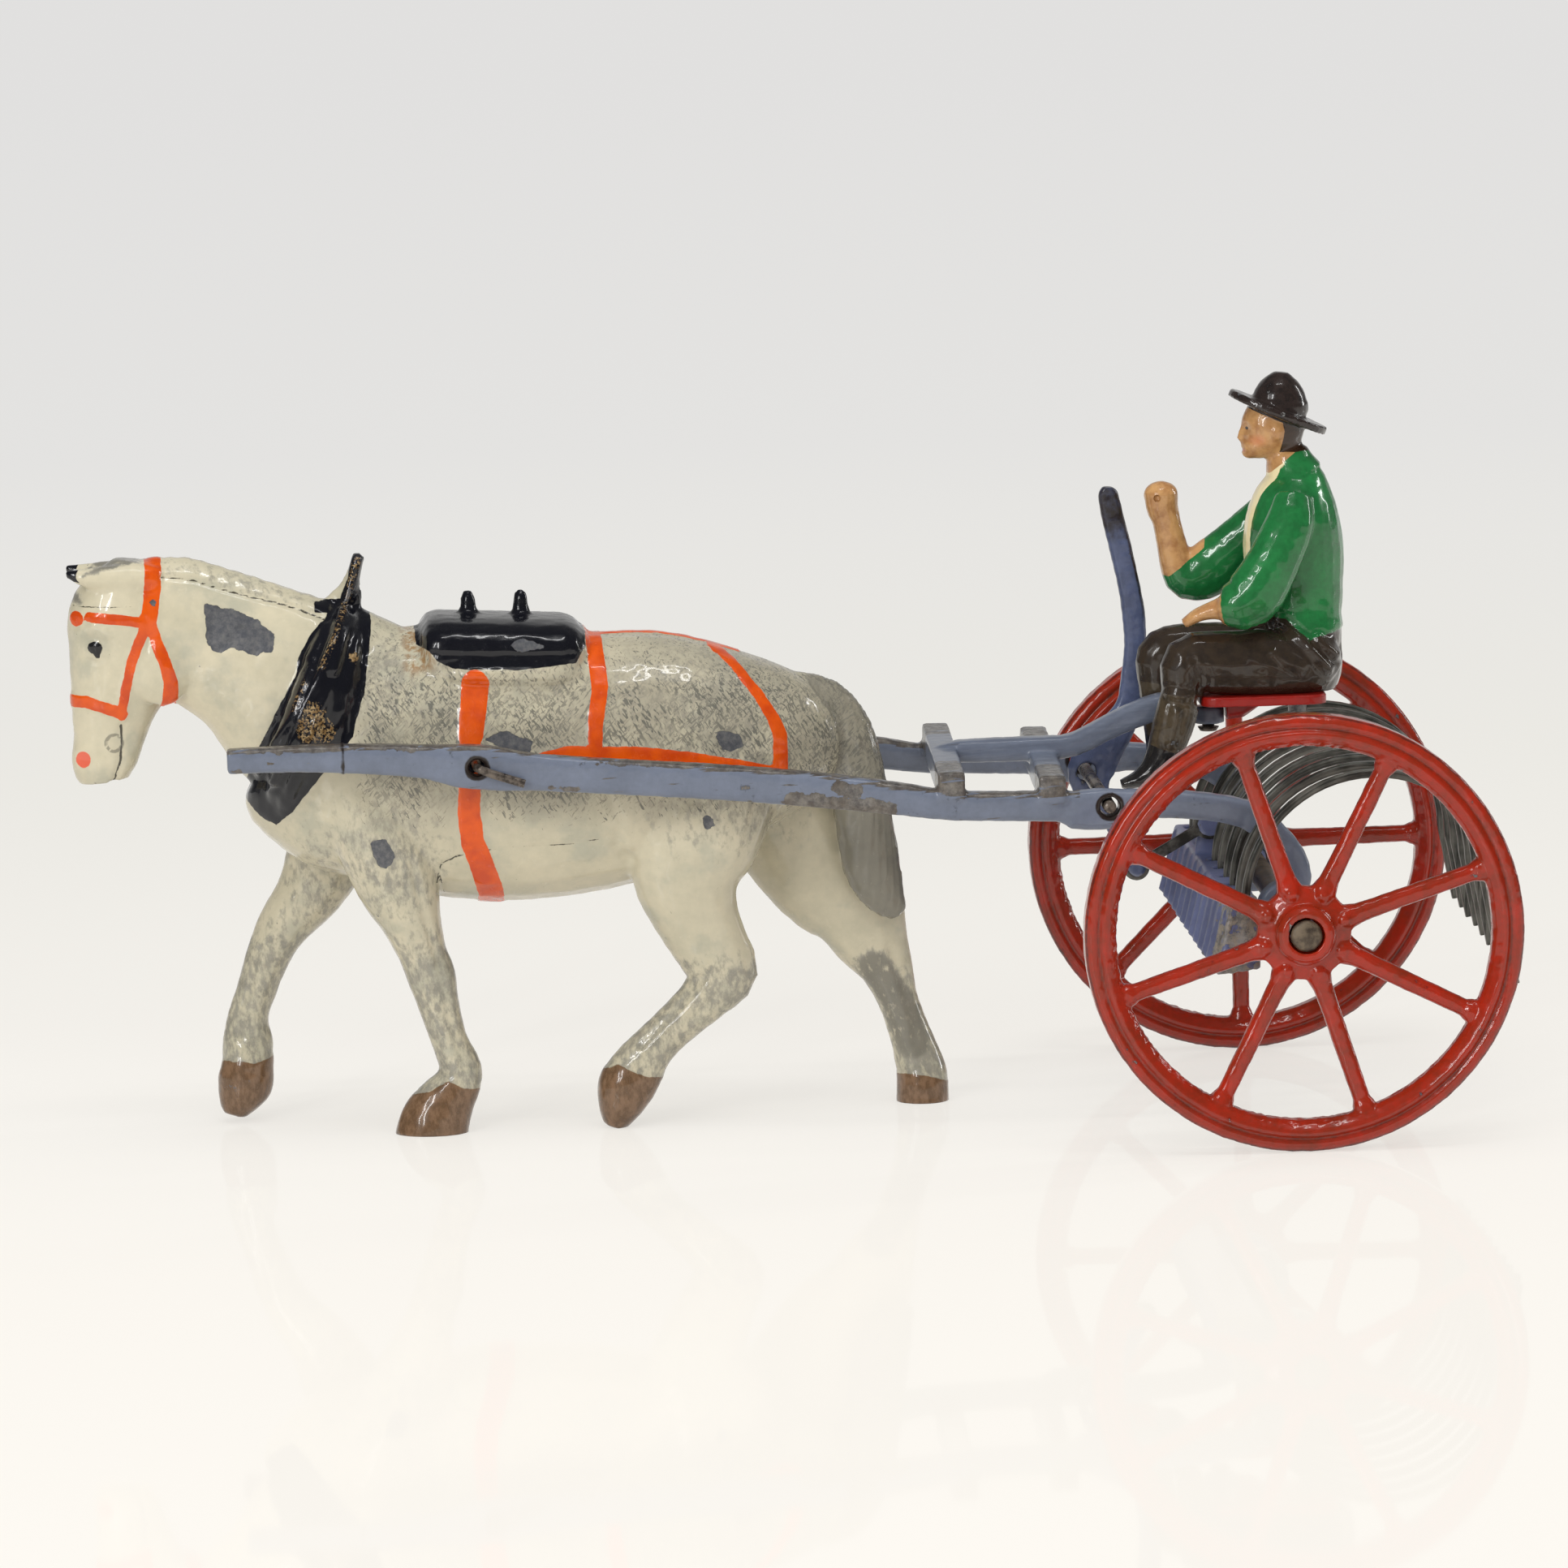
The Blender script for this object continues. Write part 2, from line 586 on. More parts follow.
def make_frame():
    """The frame casting: two shafts, two crossbars and the seat bar in one piece, with its holes."""
    bm = bmesh.new()
    add_loft(bm, rail_stations(-1.0), sides=8, power=5.0)
    frame = place("shaft_frame", mesh_from(bm), "frame")
    helpers = []
    bm = bmesh.new()
    add_loft(bm, rail_stations(1.0), sides=8, power=5.0)
    helpers.append(place("far_rail", mesh_from(bm), None, helper=True))
    lap_top = seat_underside() - GAP
    lap_start = seat_front() - SEAT_BAR_DEPTH
    bm = bmesh.new()
    add_box(
        bm,
        Vector(((lap_start + rivet_x()) / 2.0, 0.0, lap_top - SEAT_LAP_DEPTH / 2.0)),
        (rivet_x() - lap_start, SEAT_BAR_WIDTH * 0.98, SEAT_LAP_DEPTH),
    )
    helpers.append(place("seat_lap", mesh_from(bm), None, helper=True))
    bm = bmesh.new()
    eye = Vector((rivet_x(), 0.0, lap_top - SEAT_LAP_DEPTH / 2.0))
    half = Z_AXIS * (SEAT_LAP_DEPTH * 0.49)
    add_cylinder(bm, eye - half, eye + half, SEAT_BAR_WIDTH / 2.0, 16)
    helpers.append(place("seat_lap_end", mesh_from(bm), None, helper=True))
    for side, name in ((-1.0, "near_lug"), (1.0, "far_lug")):
        middle = Vector((0.0, side * RAIL_SPREAD / 2.0, AXLE_Z))
        half = Y_AXIS * (SHAFT_THICKNESS / 2.0 + 0.0001)
        bm = bmesh.new()
        add_cylinder(bm, middle - half, middle + half, LUG_RADIUS, 20)
        helpers.append(place(name, mesh_from(bm), None, helper=True))
    top = AXLE_Z + BAR_TOP_RISE
    bar_length = RAIL_SPREAD + SHAFT_THICKNESS + 2.0 * BAR_OVERHANG
    turn = Matrix.Rotation(-math.atan2(BAR_SLANT, bar_length), 4, "Z")
    for x, lift, name in ((FRONT_BAR_X, FRONT_BAR_LIFT, "front_bar"), (REAR_BAR_X, REAR_BAR_LIFT, "rear_bar")):
        bm = bmesh.new()
        middle = Vector((x, 0.0, top + lift - BAR_HEIGHT / 2.0))
        add_box(bm, middle, (BAR_WIDTH, bar_length, BAR_HEIGHT), turn)
        bmesh.ops.bevel(
            bm,
            geom=bm.edges,
            offset=BAR_WIDTH * 0.1,
            segments=1,
            affect="EDGES",
            profile=0.5,
            material=-1,
        )
        helpers.append(place(name, mesh_from(bm), None, helper=True))
    bm = bmesh.new()
    add_loft(bm, seat_bar_stations(), sides=8, power=5.0)
    helpers.append(place("seat_bar", mesh_from(bm), None, helper=True))
    for helper in helpers:
        boolean(frame, helper, "UNION")
    past = Y_AXIS * bar_length
    for name, x, z, radius in (
        ("axle_hole", 0.0, AXLE_Z, AXLE_RADIUS + GAP),
        ("rod_hole", ROD_X, AXLE_Z + ROD_RISE, ROD_HOLE_RADIUS),
        ("pin_hole", PIN_X, PIN_Z, PIN_HOLE_RADIUS),
    ):
        centre = Vector((x, 0.0, z))
        boolean(frame, cylinder_cutter(name, centre - past, centre + past, radius), "DIFFERENCE")
    centre = Vector((rivet_x(), 0.0, AXLE_Z + SEAT_TOP_RISE))
    drop = Z_AXIS * 0.008
    boolean(frame, cylinder_cutter("rivet_hole", centre - drop, centre + drop, RIVET_RADIUS + GAP, 12), "DIFFERENCE")


def bent_wire(name, points, radius, kind):
    """A wire through points, as a curve with filled caps."""
    curve = bpy.data.curves.new(name, "CURVE")
    curve.dimensions = "3D"
    curve.bevel_depth = radius
    curve.bevel_resolution = 2
    curve.use_fill_caps = True
    spline = curve.splines.new("POLY")
    spline.points.add(len(points) - 1)
    for target, point in zip(spline.points, points):
        target.co = (*point, 1.0)
    curve.materials.append(material(kind))
    obj = bpy.data.objects.new(name, curve)
    PARTS.objects.link(obj)
    return obj


def make_horse_pin():
    """Wire peg through both shafts and the horse, each end bent back along its shaft."""
    outside = shaft_centre_y(PIN_X) + SHAFT_THICKNESS / 2.0 + GAP + PIN_RADIUS
    bend = PIN_RADIUS * 2.2
    near = [
        Vector((PIN_X + PIN_TAIL, -outside - bend * 0.3, PIN_Z - PIN_TAIL_DROP)),
        Vector((PIN_X + bend * 1.6, -outside, PIN_Z - PIN_TAIL_DROP * 0.35)),
        Vector((PIN_X + bend * 0.7, -outside, PIN_Z - PIN_TAIL_DROP * 0.12)),
        Vector((PIN_X + bend * 0.2, -outside + PIN_RADIUS * 0.4, PIN_Z)),
        Vector((PIN_X, -outside + bend, PIN_Z)),
    ]
    far = [Vector((2.0 * PIN_X - p.x, -p.y, p.z)) for p in reversed(near)]
    bent_wire("horse_pin", near + far, PIN_RADIUS, "steel")


# Seat


def make_seat():
    """Flat seat with rounded corners and, beneath, a boss behind the end of the seat bar."""
    top = AXLE_Z + SEAT_TOP_RISE
    bm = bmesh.new()
    add_box(bm, Vector((SEAT_X, 0.0, top - SEAT_THICKNESS / 2.0)), (SEAT_LENGTH, SEAT_WIDTH, SEAT_THICKNESS))
    corners = [e for e in bm.edges if abs(e.verts[0].co.z - e.verts[1].co.z) > SEAT_THICKNESS / 2.0]
    bmesh.ops.bevel(bm, geom=corners, offset=SEAT_CORNER, segments=4, affect="EDGES", profile=0.5, material=-1)
    seat = place("seat", mesh_from(bm), "seat")
    boss_start = seat_bar_end_x() + GAP
    boss_depth = SEAT_BOSS_DEPTH + SEAT_THICKNESS / 2.0
    bm = bmesh.new()
    add_box(
        bm,
        Vector((boss_start + SEAT_BOSS_LENGTH / 2.0, 0.0, top - SEAT_THICKNESS / 2.0 - boss_depth / 2.0)),
        (SEAT_BOSS_LENGTH, SEAT_BOSS_WIDTH, boss_depth),
    )
    boolean(seat, place("seat_boss", mesh_from(bm), None, helper=True), "UNION")
    drop = Z_AXIS * 0.006
    for name, x, radius in (
        ("seat_rivet_hole", rivet_x(), RIVET_RADIUS + GAP),
        ("seat_peg_hole", DRIVER_PEG_X, DRIVER_PEG_RADIUS + GAP),
    ):
        centre = Vector((x, 0.0, top))
        boolean(seat, cylinder_cutter(name, centre - drop, centre + drop, radius, 16), "DIFFERENCE")
    head = Vector((rivet_x(), 0.0, top - RIVET_HEAD_HEIGHT - GAP))
    sink = cylinder_cutter("rivet_sink", head, head + Z_AXIS * 0.002, RIVET_HEAD_RADIUS + GAP, 16)
    boolean(seat, sink, "DIFFERENCE")


def make_seat_rivet():
    """Rivet down through the seat and the seat bar, its upper head sunk level with the seat."""
    top = AXLE_Z + SEAT_TOP_RISE
    under = seat_underside() - GAP - SEAT_LAP_DEPTH - GAP
    profile = [
        (0.0, top),
        (RIVET_HEAD_RADIUS, top),
        (RIVET_HEAD_RADIUS, top - RIVET_HEAD_HEIGHT),
        (RIVET_RADIUS, top - RIVET_HEAD_HEIGHT),
        (RIVET_RADIUS, under),
        (RIVET_HEAD_RADIUS, under),
        (RIVET_HEAD_RADIUS * 0.7, under - RIVET_HEAD_HEIGHT),
        (0.0, under - RIVET_HEAD_HEIGHT),
    ]
    bm = bmesh.new()
    bm.from_mesh(turned_mesh("rivet", profile, 14, closed=False))
    bmesh.ops.rotate(bm, verts=bm.verts, cent=(0, 0, 0), matrix=Matrix.Rotation(math.pi / 2.0, 3, "X"))
    rivet = place("seat_rivet", mesh_from(bm), "frame")
    rivet.location = (rivet_x(), 0.0, 0.0)


# Lever, rod and link


def lever_stud():
    return Vector((ROD_X + LEVER_FOOT_X, LEVER_Y, AXLE_Z + ROD_RISE - LEVER_FOOT_DROP))


def rake_stud():
    return Vector((LUG_X, LEVER_Y, AXLE_Z + LUG_RISE))


def add_stud(bm, foot):
    """A stud towards -Y that passes through the link and ends in a spread head."""
    inner = LINK_Y - LINK_THICKNESS / 2.0 - GAP
    neck = Vector((foot.x, inner, foot.z))
    start = Vector((foot.x, foot.y, foot.z))
    add_cylinder(bm, start, neck - Y_AXIS * STUD_HEAD_LENGTH * 0.5, STUD_RADIUS, 10)
    return neck, neck - Y_AXIS * STUD_HEAD_LENGTH


def make_lever():
    """Hand lever: a grip that runs down to a flat blade round the rod, and a foot with a stud for the link."""
    rod_z = AXLE_Z + ROD_RISE
    top = rod_z + LEVER_LENGTH
    half = LEVER_WIDTH / 2.0
    thick = LEVER_THICKNESS / 2.0
    foot = lever_stud()
    side_view = [
        (ROD_X + 0.0026, top, half * 0.45),
        (ROD_X + 0.0026, top - 0.0005, half * 0.85),
        (ROD_X + 0.0028, top - LEVER_LENGTH * 0.07, half),
        (ROD_X + 0.0038, top - LEVER_LENGTH * 0.23, half * 0.98),
        (ROD_X + 0.0045, top - LEVER_LENGTH * 0.35, half),
        (ROD_X + 0.0049, top - LEVER_LENGTH * 0.45, half * 1.08),
        (ROD_X + 0.0050, top - LEVER_LENGTH * 0.56, half * 1.02),
        (ROD_X + 0.0046, top - LEVER_LENGTH * 0.68, half * 1.02),
        (ROD_X + 0.0043, top - LEVER_LENGTH * 0.77, half * 1.2),
        (ROD_X + 0.0031, top - LEVER_LENGTH * 0.85, half * 1.65),
        (ROD_X + 0.0016, top - LEVER_LENGTH * 0.92, half * 2.05),
        (ROD_X + 0.0004, rod_z, half * 2.2),
        (ROD_X + 0.0007, rod_z - 0.0022, half * 1.55),
        (ROD_X + LEVER_FOOT_X * 0.5, rod_z - LEVER_FOOT_DROP * 0.5, LEVER_FOOT_RADIUS * 0.95),
        (foot.x - 0.0004, foot.z + 0.0012, LEVER_FOOT_RADIUS),
        (foot.x, foot.z, LEVER_FOOT_RADIUS),
        (foot.x + 0.0003, foot.z - LEVER_FOOT_RADIUS * 0.8, LEVER_FOOT_RADIUS * 0.5),
    ]
    bm = bmesh.new()
    stations = [(Vector((x, LEVER_Y, z)), depth, thick) for x, z, depth in side_view]
    add_loft(bm, stations, sides=8, power=3.2)
    lever = place("lever", mesh_from(bm), "lever")
    bm = bmesh.new()
    neck, end = add_stud(bm, foot)
    boolean(lever, place("lever_stud", mesh_from(bm), None, helper=True), "UNION")
    bm = bmesh.new()
    add_cylinder(bm, neck, end, STUD_HEAD_RADIUS, 12, STUD_HEAD_RADIUS * 0.7)
    boolean(lever, place("lever_stud_head", mesh_from(bm), None, helper=True), "UNION")
    centre = Vector((ROD_X, LEVER_Y, rod_z))
    past = Y_AXIS * LEVER_THICKNESS
    boolean(lever, cylinder_cutter("lever_bore", centre - past, centre + past, ROD_HOLE_RADIUS), "DIFFERENCE")


def make_lever_rod():
    """Plain wire rod from rail to rail on which the lever turns."""
    half = Y_AXIS * (RAIL_SPREAD / 2.0 + SHAFT_THICKNESS / 2.0 + 0.0002)
    bm = bmesh.new()
    add_cylinder(bm, -half, half, ROD_RADIUS, 14)
    rod = place("lever_rod", mesh_from(bm), "steel")
    rod.location = (ROD_X, 0.0, AXLE_Z + ROD_RISE)


def make_link():
    """Flat strip from the lever's stud to the rake's, with an eye at each end."""
    front = lever_stud()
    rear = rake_stud()
    front.y = rear.y = LINK_Y
    along = (rear - front).normalized()
    front_eye = LINK_FRONT_HOLE + LINK_EYE_WALL
    rear_eye = LINK_REAR_HOLE + LINK_EYE_WALL
    half = Y_AXIS * (LINK_THICKNESS / 2.0)
    bm = bmesh.new()
    add_cylinder(bm, front - half, front + half, front_eye, 16)
    link = place("link", mesh_from(bm), "tine")
    bm = bmesh.new()
    add_cylinder(bm, rear - half, rear + half, rear_eye, 20)
    boolean(link, place("link_eye", mesh_from(bm), None, helper=True), "UNION")
    bm = bmesh.new()
    start = front + along * LINK_FRONT_HOLE * 1.2
    end = rear - along * LINK_REAR_HOLE * 1.2
    turn = along.to_track_quat("X", "Z").to_matrix().to_4x4()
    add_box(bm, (start + end) / 2.0, ((end - start).length, LINK_THICKNESS * 0.98, LINK_WIDTH), turn)
    boolean(link, place("link_strip", mesh_from(bm), None, helper=True), "UNION")
    for name, centre, radius in (
        ("link_front_hole", front, LINK_FRONT_HOLE),
        ("link_rear_hole", rear, LINK_REAR_HOLE),
    ):
        cutter = cylinder_cutter(name, centre - Y_AXIS * 0.002, centre + Y_AXIS * 0.002, radius, 14)
        boolean(link, cutter, "DIFFERENCE")


# Rake


def tine_y(index):
    return (index - (TINES - 1) / 2.0) * TINE_PITCH


def tine_path():
    """Middle line of a tine: a straight root in the head, half a circle over the axle and a straight tail."""
    centre_z = AXLE_Z + TINE_ARC_RISE
    root = Vector((TINE_ARC_X - TINE_ARC_RADIUS, 0.0, centre_z))
    lean = HEAD_LEAN / HEAD_HEIGHT
    points = [root + Vector((-lean, 0.0, -1.0)).normalized() * TINE_ROOT_LENGTH]
    for step in range(TINE_STEPS + 1):
        angle = math.pi * (1.0 - step / TINE_STEPS)
        points.append(
            Vector(
                (
                    TINE_ARC_X + TINE_ARC_RADIUS * math.cos(angle),
                    0.0,
                    centre_z + TINE_ARC_RADIUS * math.sin(angle),
                )
            )
        )
    points.append(points[-1] + Vector((TINE_TAIL_LEAN, 0.0, -TINE_TAIL_LENGTH)))
    return points


def strip_outline(points, thickness):
    """The outline of a strip of even thickness bent along points."""
    sides = ([], [])
    for index, point in enumerate(points):
        before = points[max(index - 1, 0)]
        after = points[min(index + 1, len(points) - 1)]
        across = (after - before).normalized().cross(Y_AXIS)
        for side, sign in zip(sides, (-0.5, 0.5)):
            edge = point + across * sign * thickness
            side.append((edge.x, edge.z))
    return sides[0] + sides[1][::-1]


def make_tines():
    mesh = plate(strip_outline(tine_path(), TINE_THICKNESS), TINE_WIDTH)
    mesh.materials.append(material("tine"))
    for index in range(TINES):
        tine = bpy.data.objects.new(f"tine_{index + 1:02d}", mesh)
        PARTS.objects.link(tine)
        tine.location = (0.0, tine_y(index), 0.0)


def head_front_x(z):
    """X of the head's front face at a height."""
    top = AXLE_Z + HEAD_TOP_RISE
    return HEAD_FRONT_X - HEAD_LEAN * (top - z) / HEAD_HEIGHT


def make_rake_head():
    """Cast bar across the machine: ribbed front, a slot for each tine, end arms on the axle, a lug for the link."""
    top = AXLE_Z + HEAD_TOP_RISE
    bottom = top - HEAD_HEIGHT
    outline = [
        (head_front_x(top), top),
        (head_front_x(bottom), bottom),
        (head_front_x(bottom) + HEAD_BOTTOM_DEPTH, bottom + 0.0006),
        (HEAD_FRONT_X + HEAD_TOP_DEPTH, top),
    ]
    head = place("rake_head", plate(outline, HEAD_LENGTH), "rake")
    rib_pitch = HEAD_LENGTH / HEAD_RIBS
    bm = bmesh.new()
    for index in range(HEAD_RIBS):
        y = (index - (HEAD_RIBS - 1) / 2.0) * rib_pitch
        low = Vector((head_front_x(bottom), y, bottom + 0.0004))
        high = Vector((head_front_x(top), y, top - 0.0004))
        add_cylinder(bm, low, high, HEAD_RIB_RADIUS, 6)
    boolean(head, place("ribs", mesh_from(bm), None, helper=True), "UNION")
    for side, name in ((-1.0, "near_arm"), (1.0, "far_arm")):
        inner = side * (HEAD_LENGTH / 2.0 - HEAD_ARM_THICKNESS)
        outer = side * HEAD_LENGTH / 2.0
        bm = bmesh.new()
        add_cylinder(bm, Vector((0.0, inner, AXLE_Z)), Vector((0.0, outer, AXLE_Z)), HEAD_ARM_RADIUS, 20)
        boolean(head, place(name, mesh_from(bm), None, helper=True), "UNION")
        bm = bmesh.new()
        reach = HEAD_FRONT_X + HEAD_TOP_DEPTH / 2.0
        add_box(
            bm,
            Vector((reach / 2.0, (inner + outer) / 2.0, AXLE_Z - 0.0006)),
            (-reach, HEAD_ARM_THICKNESS * 0.98, HEAD_ARM_RADIUS * 1.4),
        )
        boolean(head, place(f"{name}_web", mesh_from(bm), None, helper=True), "UNION")
        bore = cylinder_cutter(
            f"{name}_bore",
            Vector((0.0, inner - side * 0.001, AXLE_Z)),
            Vector((0.0, outer + side * 0.001, AXLE_Z)),
            AXLE_RADIUS + GAP,
        )
        boolean(head, bore, "DIFFERENCE")
    stud = rake_stud()
    ear_middle = LINK_Y + LINK_THICKNESS / 2.0 + GAP + LUG_EAR_THICKNESS / 2.0
    stations = [
        (Vector((HEAD_FRONT_X + HEAD_TOP_DEPTH * 0.35, ear_middle, top - 0.0015)), LUG_EAR_RADIUS * 1.3, LUG_EAR_THICKNESS / 2.0),
        (Vector((stud.x, ear_middle, stud.z)), LUG_EAR_RADIUS, LUG_EAR_THICKNESS / 2.0),
        (Vector((stud.x, ear_middle, stud.z + LUG_EAR_RADIUS * 0.75)), LUG_EAR_RADIUS * 0.7, LUG_EAR_THICKNESS / 2.0),
    ]
    bm = bmesh.new()
    add_loft(bm, stations, sides=8, power=6.0)
    boolean(head, place("rake_lug", mesh_from(bm), None, helper=True), "UNION")
    bm = bmesh.new()
    stud.y = ear_middle
    neck, end = add_stud(bm, stud)
    boolean(head, place("rake_stud", mesh_from(bm), None, helper=True), "UNION")
    bm = bmesh.new()
    add_cylinder(bm, neck, end, STUD_HEAD_RADIUS * 1.5, 14, STUD_HEAD_RADIUS * 1.2)
    boolean(head, place("rake_stud_head", mesh_from(bm), None, helper=True), "UNION")
    foot, root = tine_path()[:2]
    along = (root - foot).normalized()
    low = foot - along * GAP
    high = foot + along * TINE_ROOT_LENGTH * 1.5
    turn = along.to_track_quat("Z", "Y").to_matrix().to_4x4()
    size = (TINE_THICKNESS + 2.0 * GAP, TINE_WIDTH + 2.0 * GAP, (high - low).length)
    bm = bmesh.new()
    for index in range(TINES):
        add_box(bm, (low + high) / 2.0 + Y_AXIS * tine_y(index), size, turn)
    boolean(head, place("tine_slots", mesh_from(bm, smooth=False), None, helper=True), "DIFFERENCE")


# Horse


def horse_point(x, y, z):
    """A drawn point, x millimetres from the axle, in the horse's own scale about its pin."""
    unit = HORSE_HEIGHT / DRAWN_HORSE_HEIGHT
    across = HORSE_WIDTH / DRAWN_HORSE_WIDTH
    return Vector((PIN_X + (x + 77.6) * unit, y * across, z * unit))


def horse_stations(rows):
    unit = HORSE_HEIGHT / DRAWN_HORSE_HEIGHT
    across = HORSE_WIDTH / DRAWN_HORSE_WIDTH
    return [(horse_point(x, y, z), depth * unit, width * across) for x, y, z, depth, width in rows]


# Each row is x, y, z of the middle, half depth and half width, in millimetres
TRUNK = [
    (-98.4, 0, 35.2, 2.6, 2.4),
    (-97.2, 0, 34.8, 6.0, 4.6),
    (-94.0, 0, 35.0, 9.8, 6.9),
    (-89.0, 0, 35.9, 12.0, 8.2),
    (-82.5, 0, 35.9, 13.1, 8.9),
    (-76.0, 0, 35.1, 13.2, 9.3),
    (-70.0, 0, 34.9, 12.9, 9.3),
    (-64.0, 0, 35.4, 12.4, 9.2),
    (-58.5, 0, 36.2, 11.5, 9.2),
    (-52.5, 0, 36.4, 9.5, 8.7),
    (-47.5, 0, 36.2, 7.6, 7.2),
    (-43.8, 0, 35.6, 5.2, 4.8),
    (-42.0, 0, 35.2, 2.4, 2.4),
]
NECK = [
    (-86.0, 0, 37.5, 11.0, 6.4),
    (-93.2, 0, 42.2, 10.2, 5.9),
    (-98.5, 0, 46.0, 8.0, 4.7),
    (-103.0, 0, 48.4, 7.1, 3.8),
    (-107.5, 0, 50.2, 6.2, 3.4),
    (-110.5, 0, 51.5, 4.5, 3.0),
]
HEAD = [
    (-110.0, 0, 55.6, 2.6, 2.2),
    (-110.7, 0, 53.6, 4.6, 3.2),
    (-111.0, 0, 50.8, 5.2, 3.6),
    (-111.2, 0, 47.6, 5.1, 3.5),
    (-111.7, 0, 44.3, 4.6, 3.1),
    (-112.5, 0, 41.2, 3.8, 2.5),
    (-113.0, 0, 38.4, 3.2, 2.2),
    (-113.4, 0, 36.2, 3.0, 2.3),
    (-113.3, 0, 34.6, 2.3, 1.8),
]
NEAR_FORELEG = [
    (-88.5, -4.6, 34.0, 4.8, 3.6),
    (-86.6, -5.2, 28.5, 4.5, 3.6),
    (-85.0, -5.3, 23.8, 3.9, 3.2),
    (-83.9, -5.3, 20.5, 2.9, 2.7),
    (-82.9, -5.2, 17.3, 2.35, 2.3),
    (-82.2, -5.2, 15.3, 2.4, 2.2),
    (-81.5, -5.1, 12.2, 2.0, 1.9),
    (-80.6, -5.1, 8.9, 1.8, 1.8),
    (-79.6, -5.0, 6.2, 2.1, 2.0),
    (-80.0, -5.0, 4.6, 2.3, 2.1),
    (-81.2, -5.0, 2.9, 2.9, 2.4),
    (-82.2, -5.0, 1.0, 3.4, 2.7),
    (-82.6, -5.0, -1.0, 3.6, 2.8),
]
FAR_FORELEG = [
    (-90.0, 4.6, 32.0, 4.8, 3.6),
    (-91.6, 5.2, 26.5, 4.4, 3.5),
    (-93.6, 5.3, 22.4, 3.9, 3.1),
    (-96.2, 5.3, 19.2, 3.0, 2.6),
    (-97.8, 5.2, 16.2, 2.4, 2.3),
    (-98.9, 5.2, 13.2, 2.05, 2.0),
    (-99.9, 5.1, 10.4, 2.0, 1.9),
    (-100.0, 5.1, 8.0, 2.5, 2.1),
    (-100.1, 5.0, 5.6, 2.5, 2.3),
    (-100.4, 5.0, 3.7, 2.7, 2.4),
    (-101.1, 5.0, 2.0, 2.0, 1.9),
    (-101.5, 5.0, 0.7, 1.1, 1.3),
]
NEAR_HINDLEG = [
    (-54.5, -4.4, 36.0, 7.5, 4.6),
    (-56.2, -5.0, 29.0, 6.7, 4.3),
    (-57.2, -5.3, 24.4, 5.5, 3.6),
    (-56.5, -5.3, 20.8, 4.3, 3.0),
    (-55.0, -5.3, 17.4, 3.7, 2.6),
    (-53.9, -5.2, 14.9, 3.4, 2.4),
    (-55.6, -5.2, 12.6, 2.6, 2.2),
    (-58.2, -5.1, 10.2, 2.2, 2.0),
    (-60.6, -5.1, 8.0, 2.2, 2.0),
    (-62.2, -5.0, 6.0, 2.6, 2.2),
    (-63.5, -5.0, 4.0, 2.8, 2.5),
    (-64.2, -5.0, 2.0, 2.2, 2.2),
    (-64.8, -5.0, 0.1, 1.1, 1.4),
]
FAR_HINDLEG = [
    (-49.5, 4.4, 36.0, 7.0, 4.6),
    (-46.6, 5.0, 28.5, 6.6, 4.3),
    (-43.0, 5.3, 22.5, 5.8, 3.6),
    (-40.2, 5.3, 19.2, 4.8, 3.0),
    (-38.7, 5.3, 16.0, 3.8, 2.6),
    (-37.3, 5.2, 13.2, 2.7, 2.2),
    (-36.3, 5.2, 10.2, 2.05, 2.0),
    (-35.3, 5.1, 7.2, 2.05, 1.9),
    (-34.5, 5.0, 4.6, 2.3, 2.1),
    (-34.0, 5.0, 2.6, 2.5, 2.4),
    (-34.0, 5.0, 0.9, 2.5, 2.6),
    (-34.0, 5.0, -1.0, 2.6, 2.7),
]
TAIL = [
    (-47.0, 0, 42.3, 1.3, 1.6),
    (-43.6, 0, 40.9, 1.9, 1.9),
    (-41.0, 0, 37.6, 2.4, 2.1),
    (-39.8, 0, 32.6, 2.5, 2.2),
    (-39.0, 0, 27.4, 2.3, 2.1),
    (-37.6, 0, 22.8, 1.8, 1.7),
    (-36.0, 0, 19.2, 0.7, 0.8),
]
SADDLE = [
    (-82.2, 0, 46.6, 2.6, 6.2),
    (-81.2, 0, 46.6, 3.6, 7.3),
    (-68.3, 0, 46.0, 3.6, 7.3),
    (-67.2, 0, 46.0, 2.6, 6.2),
]
COLLAR_CENTRE = (-92.9, 0, 40.6)
COLLAR_HALF_HEIGHT = 9.6
COLLAR_HALF_WIDTH = 6.9
COLLAR_LEAN = 19.0
HAMES_TIP = (-88.0, 0, 56.0)
SADDLE_LOOPS = (-77.9, -72.8)
EAR_BASE = (-110.2, 2.0, 54.2)
EAR_TIP = (-116.3, 2.3, 55.2)


